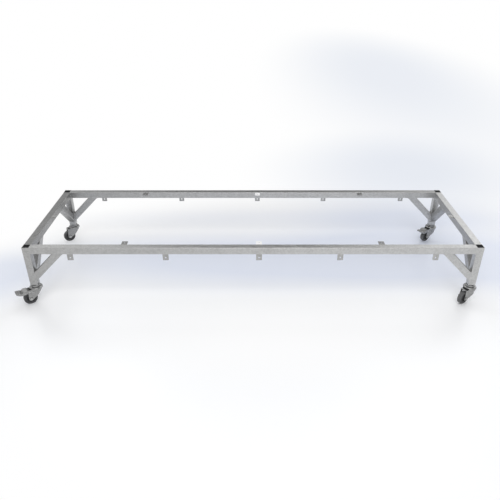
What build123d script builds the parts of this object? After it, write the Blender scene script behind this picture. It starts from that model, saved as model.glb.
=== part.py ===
from build123d import *
import math
import os

# Roller platform: a welded square-tube frame on four swivel casters, two of them with a brake.
# Millimetres, +X along the frame, +Y to the back, +Z up.
# The origin is the middle of the frame, level with the tops of the rails.

# Frame
frame_length = 2500.0
frame_width = 780.0
tube_side = 40.0
tube_wall = 2.0
tube_corner = 2.5
leg_length = 240.0
brace_reach = 175.0

# Plastic plugs in the leg tops
plug_depth = 20.0
plug_face = 3.0
plug_wall = 2.0
plug_recess = 0.5
plug_fit = 0.1

# Flat tabs with a bolt hole, welded below and inside the rails
tab_width = 32.0
tab_length = 38.0
end_tab_length = 26.0
tab_thickness = 3.0
hang_hole = 9.0
deck_hole = 11.0
tab_hole_to_end = 15.0
end_hole_to_end = 12.0
tab_corner = 2.0
tab_setback = 2.0
hang_outer_x = 996.0
hang_inner_x = 476.0
deck_outer_x = 705.0
middle_tab_x = 33.0

# Threaded inserts in the leg feet
insert_thickness = 12.0
insert_fit = 0.1

# Casters: the heading is the side to which the wheels trail, seen from above
caster_heading = 213.0
caster_trail = 41.0
wheel_radius = 37.5
wheel_clearance = 25.5

# Tyre and wheel core
tyre_width = 25.0
tyre_shoulder = 5.0
tyre_depth = 13.5
tyre_fit = 0.05
rim_width = 21.0
rim_depth = 4.0
web_thickness = 6.0
hub_radius = 11.0
hub_length = 32.0
rib_count = 6
rib_thickness = 2.5
rib_setback = 2.5

# Axle
axle_diameter = 8.0
axle_fit = 0.1
sleeve_diameter = 12.0
sleeve_fit = 0.05
axle_head_flats = 13.0
axle_head_height = 5.3
axle_nut_height = 8.0
axle_end = 2.0

# Pressed fork: a wall, round in front and drawn together to the axle, under a head like a bell
fork_thickness = 2.5
fork_play = 1.0
fork_front_radius = 30.0
fork_narrow_to_axle = 5.0
fork_boss = 12.5
fork_lead = 26.0
fork_bulge = 3.0
fork_boss_turn = 25.0
axle_seat = 1.0
axle_seat_radius = 8.5
head_radius = 36.0
head_edge = 8.0
head_rim = 11.0
head_bell = 24.0
head_root_radius = 28.5
head_window = 38.0
head_brow = 5.0
front_web = 3.5
front_web_depth = 34.0
strap_width = 6.0

# Swivel bearing
ball_diameter = 5.0
ball_count = 14
ball_fit = 0.1
race_radius = 14.0
race_groove = 0.5
cap_radius = 24.0
cap_dish_radius = 18.5
cap_thickness = 3.0
cap_rise = 5.0
cap_rim = 2.5
cap_skirt = 2.2
cap_skirt_wall = 3.0
cap_edge = 1.0

# Stem, which is also the kingpin of the fork
stem_diameter = 12.0
stem_fit = 0.05
kingpin_fit = 0.08
stem_flats = 19.0
stem_collar_height = 2.5
jam_nut_height = 5.5
stem_end = 3.0
kingpin_play = 0.2
kingpin_washer_radius = 12.0
kingpin_washer_thickness = 2.0
kingpin_nut_height = 8.0
kingpin_end = 2.0

# Foot brake
pivot_behind_axle = 2.0
pivot_above_tyre = 8.0
pivot_diameter = 6.0
pivot_fit = 0.06
pivot_head_radius = 5.0
pivot_head_height = 2.0
ear_radius = 6.5
barrel_radius = 5.0
barrel_play = 0.5
pedal_width = 46.0
pedal_thickness = 3.0
pedal_cheek = 2.5
pedal_corner = 10.0
pedal_neck_play = 1.5
pedal_underside = [(8.0, -5.0), (14.0, -9.0), (40.0, -10.5), (52.0, -7.0), (69.0, 3.0)]
pedal_top = [(71.0, 9.0), (48.0, 6.0), (37.0, 2.0), (29.0, 11.0), (9.0, 11.0), (-3.0, 6.0)]
shoe_length = 20.0
shoe_radius = 3.2
shoe_offset = 4.6
shoe_angle = 22.0
shoe_fit = 0.02

# Places that follow from the sizes
tube_inside = tube_side - 2 * tube_wall
inside_corner = max(tube_corner - tube_wall, 0.5)
long_rail_length = frame_length - 2 * tube_side
short_rail_length = frame_width - 2 * tube_side
leg_x = (frame_length - tube_side) / 2
leg_y = (frame_width - tube_side) / 2
inner_x = leg_x - tube_side / 2
inner_y = leg_y - tube_side / 2

fork_gap = hub_length + 2 * fork_play
fork_side = fork_gap / 2 + fork_thickness
seat_side = fork_side + axle_seat
core_radius = wheel_radius - tyre_depth
crown_bottom = 2 * wheel_radius + wheel_clearance
crown_top = crown_bottom + fork_thickness
rim_bottom = crown_top - head_rim
bell_bottom = rim_bottom - head_bell
ball_level = crown_top + ball_diameter / 2 - race_groove
race_bottom = crown_top + ball_diameter - 2 * race_groove
cap_top = race_bottom + cap_thickness
collar_top = cap_top + stem_collar_height
caster_height = collar_top + jam_nut_height
floor_level = -leg_length - caster_height
washer_bottom = crown_bottom - kingpin_play - kingpin_washer_thickness
kingpin_nut_bottom = washer_bottom - kingpin_nut_height
pivot_u = caster_trail + pivot_behind_axle
pivot_level = 2 * wheel_radius + pivot_above_tyre
tail_u = pivot_u + ear_radius

corners = {
    "front_left": (-1, -1),
    "front_right": (1, -1),
    "back_left": (-1, 1),
    "back_right": (1, 1),
}
braked_corners = ("front_left", "back_right")


# Square tube standing on the origin
def tube(length):
    outer = RectangleRounded(tube_side, tube_side, tube_corner)
    inner = RectangleRounded(tube_inside, tube_inside, inside_corner)
    return extrude(outer - inner, length)


# Rails lie level between the legs
def long_rail(side):
    return Pos(-long_rail_length / 2, side * leg_y, -tube_side / 2) * Rot(0, 90, 0) * tube(long_rail_length)


def short_rail(side):
    return Pos(side * leg_x, -short_rail_length / 2, -tube_side / 2) * Rot(-90, 0, 0) * tube(short_rail_length)


def leg(corner):
    side_x, side_y = corners[corner]
    return Pos(side_x * leg_x, side_y * leg_y, -leg_length) * tube(leg_length)


# Brace at 45 degrees with both ends mitred, in the corner of a leg (X = 0) and a rail (Z = 0)
def brace():
    middle = (brace_reach - tube_side / math.sqrt(2)) / 2
    stock = 4 * (brace_reach + tube_side)
    bar = Pos(middle, 0, -middle) * Rot(0, 45, 0) * Pos(0, 0, -stock / 2) * tube(stock)
    keep = Box(stock, 2 * tube_side, stock, align=(Align.MIN, Align.CENTER, Align.MAX))
    return bar & keep


def long_brace(corner):
    side_x, side_y = corners[corner]
    turn = 0 if side_x < 0 else 180
    return Pos(side_x * inner_x, side_y * leg_y, -tube_side) * Rot(0, 0, turn) * brace()


def short_brace(corner):
    side_x, side_y = corners[corner]
    return Pos(side_x * leg_x, side_y * inner_y, -tube_side) * Rot(0, 0, -90 * side_y) * brace()


# Hollow plastic plug, its face just below the end of the tube
def leg_cap(corner):
    side_x, side_y = corners[corner]
    side = tube_inside - 2 * plug_fit
    body = extrude(RectangleRounded(side, side, inside_corner), -plug_depth)
    hollow_side = side - 2 * plug_wall
    hollow = extrude(RectangleRounded(hollow_side, hollow_side, inside_corner), -plug_depth)
    plug = body - Pos(0, 0, -plug_face) * hollow
    return Pos(side_x * leg_x, side_y * leg_y, -plug_recess) * plug


# Flat tab: its welded edge lies along X at the origin, it points to +Y and its top is at Z = 0
def tab(length, hole, hole_to_end):
    plate = Pos(0, length / 2) * Rectangle(tab_width, length)
    plate = fillet(plate.vertices().group_by(Axis.Y)[-1], tab_corner)
    plate -= Pos(0, length - hole_to_end) * Circle(hole / 2)
    return extrude(plate, -tab_thickness)


# Tabs below the long rails hang down, just behind the outer face
def hanging_tabs():
    plate = tab(tab_length, hang_hole, tab_hole_to_end)
    places = (-hang_outer_x, -hang_inner_x, middle_tab_x, hang_inner_x, hang_outer_x)
    hung = []
    for side in (-1, 1):
        y = side * (frame_width / 2 - tab_setback)
        turn = Rot(-90, 0, 0) if side > 0 else Rot(-90, 0, 0) * Rot(0, 180, 0)
        for x in places:
            hung.append(Pos(x, y, -tube_side) * turn * plate)
    return Compound(hung)


# Tabs inside the rails lie flat, just below the top of the frame; those on the short rails are shorter
def deck_tabs():
    plate = tab(tab_length, deck_hole, tab_hole_to_end)
    end_plate = tab(end_tab_length, deck_hole, end_hole_to_end)
    laid = []
    for side in (-1, 1):
        turn = 0 if side < 0 else 180
        for x in (-deck_outer_x, middle_tab_x, deck_outer_x):
            laid.append(Pos(x, side * inner_y, -tab_setback) * Rot(0, 0, turn) * plate)
        laid.append(Pos(side * inner_x, 0, -tab_setback) * Rot(0, 0, 90 * side) * end_plate)
    return Compound(laid)


# A caster piece is drawn with the swivel axis upright on the origin, the floor at Z = 0,
# the wheel trailing to +X and the axle along Y, and is then turned and set under its leg
def under_leg(piece, corner):
    side_x, side_y = corners[corner]
    return Pos(side_x * leg_x, side_y * leg_y, floor_level) * Rot(0, 0, caster_heading) * piece


def under_each_leg(piece):
    return Compound([under_leg(piece, corner) for corner in corners])


# A solid drawn along Z is laid along the axle
def on_axle(piece):
    return Pos(caster_trail, 0, wheel_radius) * Rot(-90, 0, 0) * piece


def on_pivot(piece):
    return Pos(pivot_u, 0, pivot_level) * Rot(-90, 0, 0) * piece


def rod(radius, bottom, top):
    return Pos(0, 0, bottom) * Cylinder(radius, top - bottom, align=(Align.CENTER, Align.CENTER, Align.MIN))


def hexagon(flats, bottom, top):
    return Pos(0, 0, bottom) * extrude(RegularPolygon(flats / 2, 6, major_radius=False), top - bottom)


# Parts of the swivel that stay with the leg
def foot_insert():
    side = tube_inside - 2 * insert_fit
    slab = extrude(RectangleRounded(side, side, inside_corner), insert_thickness)
    return Pos(0, 0, caster_height) * slab - rod(stem_diameter / 2 + stem_fit, 0, 2 * caster_height)


# The inserts stay square to the legs
def foot_inserts():
    placed = []
    for side_x, side_y in corners.values():
        placed.append(Pos(side_x * leg_x, side_y * leg_y, floor_level) * foot_insert())
    return Compound(placed)


def stem():
    shank = rod(stem_diameter / 2, kingpin_nut_bottom - kingpin_end, caster_height + insert_thickness + stem_end)
    return shank + hexagon(stem_flats, cap_top, collar_top)


def jam_nut():
    return hexagon(stem_flats, collar_top, caster_height) - rod(stem_diameter / 2 + stem_fit, 0, 2 * caster_height)


def kingpin_washer():
    ring = rod(kingpin_washer_radius, washer_bottom, washer_bottom + kingpin_washer_thickness)
    return ring - rod(stem_diameter / 2 + stem_fit, 0, caster_height)


def kingpin_nut():
    return hexagon(stem_flats, kingpin_nut_bottom, washer_bottom) - rod(stem_diameter / 2 + stem_fit, 0, caster_height)


# The ball track is cut into both the cap and the fork
def ball_track():
    return Pos(0, 0, ball_level) * Torus(race_radius, ball_diameter / 2 + ball_fit)


# Cup whose rim rises round the jam nut and whose skirt covers the balls
def swivel_cap():
    rim_top = cap_top + cap_rise
    skirt_bottom = race_bottom - cap_skirt
    skirt_inside = cap_radius - cap_skirt_wall
    under = [(0, race_bottom), (skirt_inside, race_bottom), (skirt_inside, skirt_bottom)]
    side = [(cap_radius, skirt_bottom), (cap_radius, rim_top), (cap_radius - cap_rim, rim_top)]
    over = [(cap_dish_radius, cap_top), (0, cap_top)]
    profile = make_face(Polyline(under + side + over, close=True))
    rim = profile.vertices().sort_by(Axis.Y)[-2:]
    cup = revolve(Plane.XZ * fillet(rim, cap_edge), Axis.Z)
    return cup - ball_track() - rod(stem_diameter / 2 + stem_fit, 0, caster_height)


def swivel_balls():
    balls = []
    for spot in PolarLocations(race_radius, ball_count):
        balls.append(Pos(0, 0, ball_level) * spot * Sphere(ball_diameter / 2))
    return balls


# A box in the caster's own directions, from its lowest to its highest corner
def block(low, high):
    sizes = [high[axis] - low[axis] for axis in range(3)]
    return Pos(*low) * Box(*sizes, align=(Align.MIN, Align.MIN, Align.MIN))


# Fork wall seen from above, set in by a distance from its outside
def fork_plan(inset):
    front = fork_front_radius - inset
    near = fork_side - inset
    bend_u = caster_trail - fork_narrow_to_axle
    end_u = 2 * tail_u
    sides = Polyline((0, -front), (bend_u, -near), (end_u, -near), (end_u, near), (bend_u, near), (0, front))
    return make_face([ThreePointArc((0, front), (-front, 0), (0, -front)), sides])


# Arms seen from the side: a slanting front edge, a round end at the axle and an upright tail
def fork_outline():
    turn = math.radians(fork_boss_turn)
    boss_right = (caster_trail + fork_boss, wheel_radius)
    boss_low = (caster_trail, wheel_radius - fork_boss)
    boss_left = (caster_trail - fork_boss * math.cos(turn), wheel_radius - fork_boss * math.sin(turn))
    front = (-fork_lead, rim_bottom)
    chord = math.hypot(boss_left[0] - front[0], boss_left[1] - front[1])
    belly = (
        (front[0] + boss_left[0]) / 2 - fork_bulge * (front[1] - boss_left[1]) / chord,
        (front[1] + boss_left[1]) / 2 - fork_bulge * (boss_left[0] - front[0]) / chord,
    )
    edges = [
        Polyline(front, (-2 * head_radius, rim_bottom), (-2 * head_radius, crown_top), (tail_u, crown_top)),
        Line((tail_u, crown_top), (tail_u, pivot_level)),
        Line((tail_u, pivot_level), boss_right),
        ThreePointArc(boss_right, boss_low, boss_left),
        ThreePointArc(boss_left, belly, front),
    ]
    return extrude(Plane.XZ * make_face(edges), 2 * head_radius, both=True)


# Round form of the head with its rounded top edge, set in by a distance from its outside
def head_form(inset):
    rim = head_radius - inset
    top = crown_top - inset
    side = [(0, bell_bottom), (head_root_radius - inset, bell_bottom), (rim, rim_bottom), (rim, top), (0, top)]
    profile = make_face(Polyline(side, close=True))
    corner = profile.vertices().sort_by(Axis.Y)[-2:].sort_by(Axis.X)[-1]
    return revolve(Plane.XZ * fillet(corner, head_edge - inset), Axis.Z)


# Sloping plate along the front edge, between the arms
def front_plate(outline):
    edge = outline - Pos(front_web, 0, 0) * outline
    return edge & block((-head_radius, -head_radius, rim_bottom - front_web_depth), (tail_u, head_radius, rim_bottom))


def fork(braked):
    outline = fork_outline()
    hollow = extrude(fork_plan(fork_thickness), rim_bottom) + head_form(fork_thickness) - front_plate(outline)
    body = (extrude(fork_plan(0), rim_bottom) + head_form(0)) & outline
    body -= hollow
    window_top = crown_top - head_brow
    body -= block((0, -head_window / 2, rim_bottom), (2 * head_radius, head_window / 2, window_top))
    if not braked:
        body += block((tail_u - strap_width, -fork_side, rim_bottom - fork_thickness), (tail_u, fork_side, rim_bottom))
    for side in (-1, 1):
        seat = on_axle(rod(axle_seat_radius, fork_gap / 2, seat_side))
        body += seat if side > 0 else seat.mirror(Plane.XZ)
    body -= rod(stem_diameter / 2 + kingpin_fit, 0, caster_height)
    body -= ball_track()
    body -= on_axle(rod(axle_diameter / 2 + axle_fit, -seat_side, seat_side))
    if braked:
        body -= on_pivot(rod(pivot_diameter / 2 + pivot_fit, -seat_side, seat_side))
    return body


# Axle: the sleeve is clamped between the arms, and the wheel turns on it
def axle_sleeve():
    tube_outside = rod(sleeve_diameter / 2, -fork_gap / 2, fork_gap / 2)
    return on_axle(tube_outside - rod(axle_diameter / 2 + axle_fit, -fork_gap, fork_gap))


def axle_bolt():
    shank = rod(axle_diameter / 2, -seat_side - axle_nut_height - axle_end, seat_side)
    return on_axle(shank + hexagon(axle_head_flats, seat_side, seat_side + axle_head_height))


def axle_nut():
    nut = hexagon(axle_head_flats, -seat_side - axle_nut_height, -seat_side)
    return on_axle(nut - rod(axle_diameter / 2 + axle_fit, -2 * seat_side, 0))


# Wheel
def tyre():
    section = Pos(wheel_radius - tyre_depth / 2, 0) * Rectangle(tyre_depth, tyre_width)
    section = fillet(section.vertices().group_by(Axis.X)[-1], tyre_shoulder)
    return on_axle(revolve(Plane.XZ * section, Axis.Z))


def wheel_core():
    outside = core_radius - tyre_fit
    rim_inside = outside - rim_depth
    core = rod(outside, -rim_width / 2, rim_width / 2) - rod(rim_inside, -rim_width, rim_width)
    core += rod(rim_inside, -web_thickness / 2, web_thickness / 2)
    core += rod(hub_radius, -hub_length / 2, hub_length / 2)
    rib_length = (rim_inside + outside) / 2
    rib = Box(rib_length, rib_thickness, rim_width - 2 * rib_setback, align=(Align.MIN, Align.CENTER, Align.CENTER))
    for step in range(rib_count):
        core += Rot(0, 0, step * 360 / rib_count) * rib
    return on_axle(core - rod(sleeve_diameter / 2 + sleeve_fit, -hub_length, hub_length))


# Foot brake: a lever pressed as a tray, open below, on a pin between the arms
def lever_form(side, width, end, corner):
    stock = 4 * end
    plan = Pos(end - stock / 2, 0) * Rectangle(stock, width)
    plan = fillet(plan.vertices().group_by(Axis.X)[-1], corner)
    form = extrude(Plane.XZ * make_face(Polyline(side, close=True)), width, both=True)
    return form & extrude(plan, stock, both=True)


def pedal():
    tip, root = pedal_top[0], pedal_top[-1]
    tray_start = pedal_underside[0]
    side = [(root[0], root[1] - 2 * pedal_thickness)] + pedal_underside + pedal_top
    lever = lever_form(side, pedal_width, tip[0], pedal_corner)
    inside_tip = tip[0] - pedal_thickness
    open_end = root[0] - pedal_thickness
    low = min(z for x, z in pedal_underside) - pedal_thickness
    inside = [(open_end, low), (inside_tip, low), (inside_tip, tip[1] - pedal_thickness)]
    inside += [(x, z - pedal_thickness) for x, z in pedal_top[1:]]
    inside += [(open_end, root[1] - pedal_thickness)]
    lever -= lever_form(inside, pedal_width - 2 * pedal_cheek, inside_tip, pedal_corner - pedal_cheek)
    neck = fork_gap / 2 - pedal_neck_play
    for low_v, high_v in ((-pedal_width, -neck), (neck, pedal_width)):
        lever -= block((2 * open_end, low_v, -tip[0]), (tray_start[0], high_v, tip[0]))
    barrel_half = fork_gap / 2 - barrel_play
    barrel = Rot(-90, 0, 0) * rod(barrel_radius, -barrel_half, barrel_half)
    bore = Rot(-90, 0, 0) * rod(pivot_diameter / 2 + pivot_fit, -fork_gap, fork_gap)
    return Pos(pivot_u, 0, pivot_level) * (lever + barrel - bore)


def pivot_pin():
    pin = rod(pivot_diameter / 2, -fork_side, fork_side)
    for bottom in (-fork_side - pivot_head_height, fork_side):
        pin += rod(pivot_head_radius, bottom, bottom + pivot_head_height)
    return on_pivot(pin)


# The shoe is a lobe under the barrel, turned towards the tyre by the pedal
def brake_shoe():
    angle = math.radians(shoe_angle)
    lobe = Pos(shoe_offset * math.sin(angle), -shoe_offset * math.cos(angle)) * Circle(shoe_radius)
    lobe -= Circle(barrel_radius + shoe_fit)
    return Pos(pivot_u, 0, pivot_level) * extrude(Plane.XZ * lobe, shoe_length / 2, both=True)


# Every piece by name
def frame_pieces():
    pieces = {
        "long_rail_front": long_rail(-1),
        "long_rail_back": long_rail(1),
        "short_rail_left": short_rail(-1),
        "short_rail_right": short_rail(1),
    }
    for corner in corners:
        pieces[f"leg_{corner}"] = leg(corner)
        pieces[f"long_brace_{corner}"] = long_brace(corner)
        pieces[f"short_brace_{corner}"] = short_brace(corner)
    pieces["leg_caps"] = Compound([leg_cap(corner) for corner in corners])
    pieces["hanging_tabs"] = hanging_tabs()
    pieces["deck_tabs"] = deck_tabs()
    return pieces


def swivel_mount_pieces():
    return {
        "foot_inserts": foot_inserts(),
        "stems": under_each_leg(stem()),
        "jam_nuts": under_each_leg(jam_nut()),
        "swivel_caps": under_each_leg(swivel_cap()),
        "kingpin_washers": under_each_leg(kingpin_washer()),
        "kingpin_nuts": under_each_leg(kingpin_nut()),
    }


def caster_pieces(corner):
    braked = corner in braked_corners
    pieces = {
        "fork": fork(braked),
        "swivel_balls": Compound(swivel_balls()),
        "axle_sleeve": axle_sleeve(),
        "axle_bolt": axle_bolt(),
        "axle_nut": axle_nut(),
        "wheel_core": wheel_core(),
        "tyre": tyre(),
    }
    if braked:
        pieces["brake_pedal"] = pedal()
        pieces["brake_pin"] = pivot_pin()
        pieces["brake_shoe"] = brake_shoe()
    return {f"{name}_{corner}": under_leg(piece, corner) for name, piece in pieces.items()}


def main():
    pieces = frame_pieces() | swivel_mount_pieces()
    for corner in corners:
        pieces |= caster_pieces(corner)
    os.makedirs("parts", exist_ok=True)
    for name, piece in pieces.items():
        export_step(piece, f"parts/{name}.step")
    print(len(pieces), "pieces, caster height", caster_height, "floor at", floor_level)


main()
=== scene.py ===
"""Looks of the roller platform: galvanised frame, zinc-plated casters, dark tyres and black leg plugs."""
import logging
import math
from dataclasses import dataclass
from enum import Enum
from functools import cached_property
from typing import ClassVar, Sequence

import bmesh
import bpy
from mathutils import Matrix, Vector


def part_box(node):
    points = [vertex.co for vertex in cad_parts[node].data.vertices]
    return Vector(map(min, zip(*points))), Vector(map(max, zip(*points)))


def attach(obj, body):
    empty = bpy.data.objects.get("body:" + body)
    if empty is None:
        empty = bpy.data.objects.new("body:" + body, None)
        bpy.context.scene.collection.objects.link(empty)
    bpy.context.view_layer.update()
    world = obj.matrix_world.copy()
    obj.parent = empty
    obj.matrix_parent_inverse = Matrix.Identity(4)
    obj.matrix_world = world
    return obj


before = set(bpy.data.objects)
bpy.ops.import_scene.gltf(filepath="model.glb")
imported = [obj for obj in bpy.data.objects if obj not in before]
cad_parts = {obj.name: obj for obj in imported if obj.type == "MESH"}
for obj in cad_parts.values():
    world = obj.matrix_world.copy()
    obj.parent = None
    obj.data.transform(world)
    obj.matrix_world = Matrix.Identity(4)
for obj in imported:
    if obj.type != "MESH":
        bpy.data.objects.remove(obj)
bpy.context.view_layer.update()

log = logging.getLogger("roller_platform")

MM = 0.001
CASTER_HEADING = 213.0
SPECKLE_SPAN = (0.3, 0.7)
Tree = bpy.types.NodeTree
Node = bpy.types.Node
Socket = bpy.types.NodeSocket
Material = bpy.types.Material
Mesh = bmesh.types.BMesh
Colour = tuple[float, float, float]
Point = tuple[float, float, float]
Span = tuple[float, float]


class Corner(Enum):
    """The four corners of the frame: the side along X and the side along Y."""

    FRONT_LEFT = (-1, -1)
    FRONT_RIGHT = (1, -1)
    BACK_LEFT = (-1, 1)
    BACK_RIGHT = (1, 1)

    @property
    def label(self) -> str:
        """The corner's words in the names of nodes and bodies."""
        return self.name.lower()


class Run(Enum):
    """The way a tube runs, as the turn in degrees that lays the pattern's X axis along its length."""

    LONG = (0.0, 0.0, 0.0)
    SHORT = (0.0, 0.0, 90.0)
    UPRIGHT = (0.0, 90.0, 0.0)
    LONG_SLOPE_LEFT = (0.0, -45.0, 0.0)
    LONG_SLOPE_RIGHT = (0.0, 45.0, 0.0)
    SHORT_SLOPE_FRONT = (0.0, -45.0, 90.0)
    SHORT_SLOPE_BACK = (0.0, 45.0, 90.0)


class ToneAndShade(Enum):
    """How bright a length of steel is drawn: its sides and its upper face, as shares of the plain tone,
    partly its own tone and partly painted shade and light.
    """

    DARK = (0.64, 0.64)
    DULL = (0.85, 0.85)
    PLAIN = (1.0, 1.0)
    BRIGHT = (1.08, 1.08)
    STAINED = (0.66, 0.53)
    FILMED = (1.0, 0.82)
    RINSED = (0.82, 1.22)


class NodeSketch:
    """Adds nodes to a shader tree and joins them."""

    def __init__(self, tree: Tree) -> None:
        """Keeps the tree that the nodes go into.

        Args:
            tree: A material's, world's or group's node tree.
        """
        self.tree = tree

    def add(self, kind: str, values: dict[str, object] | None = None, **settings: object) -> Node:
        """Adds one node.

        Args:
            kind: The node's Blender type, such as ShaderNodeTexNoise.
            values: Socket names with a number, a colour or a socket that feeds them.
            settings: Attributes of the node itself.

        Returns:
            The new node.
        """
        node = self.tree.nodes.new(kind)
        for name, setting in settings.items():
            setattr(node, name, setting)
        for name, value in (values or {}).items():
            self.feed(node.inputs[name], value)
        return node

    def feed(self, socket: Socket, value: object) -> None:
        """Sets a socket to a value, or joins another socket to it.

        Args:
            socket: The socket to feed.
            value: A number, a colour or a socket.
        """
        if isinstance(value, Socket):
            self.tree.links.new(value, socket)
        else:
            socket.default_value = value

    def maths(self, operation: str, first: object, second: object = 0.0) -> Socket:
        """Joins two numbers or sockets by one operation.

        Args:
            operation: A Math node's operation, such as MULTIPLY.
            first: The first number or socket.
            second: The second number or socket.

        Returns:
            The result's socket.
        """
        node = self.tree.nodes.new("ShaderNodeMath")
        node.operation = operation
        self.feed(node.inputs[0], first)
        self.feed(node.inputs[1], second)
        return node.outputs[0]

    def remap(self, value: object, source: Span, target: Span) -> Socket:
        """Maps one span of numbers to another, smoothly and clamped.

        Args:
            value: The socket to map.
            source: The lowest and highest number that come in.
            target: What they become.

        Returns:
            The mapped socket.
        """
        node = self.add("ShaderNodeMapRange", {"Value": value}, interpolation_type="SMOOTHSTEP")
        node.inputs["From Min"].default_value, node.inputs["From Max"].default_value = source
        node.inputs["To Min"].default_value, node.inputs["To Max"].default_value = target
        return node.outputs["Result"]

    def weighed(self, first: object, share: float, second: object, rest: float = 1.0) -> Socket:
        """Adds two values, each times its own share.

        Args:
            first: A number or socket.
            share: What it is multiplied by.
            second: A number or socket.
            rest: What the second is multiplied by.

        Returns:
            The sum's socket.
        """
        total = self.maths("MULTIPLY_ADD", first, share)
        self.feed(total.node.inputs[2], second if rest == 1.0 else self.maths("MULTIPLY", second, rest))
        return total

    def noise(self, place: Socket, scale: object, detail: float, roughness: float = 0.5) -> Socket:
        """Adds a noise texture with finer layers of a given number and strength, and returns its value."""
        values = {"Vector": place, "Scale": scale, "Detail": detail, "Roughness": roughness}
        return self.add("ShaderNodeTexNoise", values).outputs["Fac"]

    def stretched(self, place: Socket, factors: Point) -> Socket:
        """Multiplies coordinates along X, Y and Z.

        Args:
            place: The coordinates' socket.
            factors: The three factors.

        Returns:
            The new coordinates' socket.
        """
        node = self.add("ShaderNodeVectorMath", operation="MULTIPLY")
        self.feed(node.inputs[0], place)
        node.inputs[1].default_value = factors
        return node.outputs["Vector"]

    def shaded(self, colour: object, share: Socket) -> Socket:
        """Multiplies a colour by a share that changes over the surface."""
        grey = self.add("ShaderNodeCombineColor", {"Red": share, "Green": share, "Blue": share})
        return self.blend(1.0, colour, grey.outputs["Color"], "MULTIPLY")

    def blend(self, factor: object, first: object, second: object, mode: str = "MIX") -> Socket:
        """Mixes two colours.

        Args:
            factor: How much of the second colour shows.
            first: A colour or socket.
            second: A colour or socket.
            mode: The Mix node's blend type.

        Returns:
            The mixed colour's socket.
        """
        node = self.tree.nodes.new("ShaderNodeMix")
        node.data_type = "RGBA"
        node.blend_type = mode
        self.feed(node.inputs[0], factor)
        self.feed(node.inputs[6], first)
        self.feed(node.inputs[7], second)
        return node.outputs[2]


class GroupSketch(NodeSketch):
    """A new node group with a place input, number inputs and value outputs."""

    def __init__(self, name: str, **numbers: float) -> None:
        """Starts the group.

        Args:
            name: The group's name.
            numbers: Each number input with its default.
        """
        super().__init__(bpy.data.node_groups.new(name, "ShaderNodeTree"))
        self.tree.interface.new_socket("Place", in_out="INPUT", socket_type="NodeSocketVector")
        for label, default in numbers.items():
            socket = self.tree.interface.new_socket(label, in_out="INPUT", socket_type="NodeSocketFloat")
            socket.default_value = default
        self.source = self.tree.nodes.new("NodeGroupInput").outputs
        self.place = self.source["Place"]

    def put_out(self, **values: Socket) -> Tree:
        """Makes and feeds the group's outputs.

        Args:
            values: Each output's name and the socket that feeds it.

        Returns:
            The finished group.
        """
        for label in values:
            self.tree.interface.new_socket(label, in_out="OUTPUT", socket_type="NodeSocketFloat")
        self.add("NodeGroupOutput", values)
        return self.tree


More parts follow.
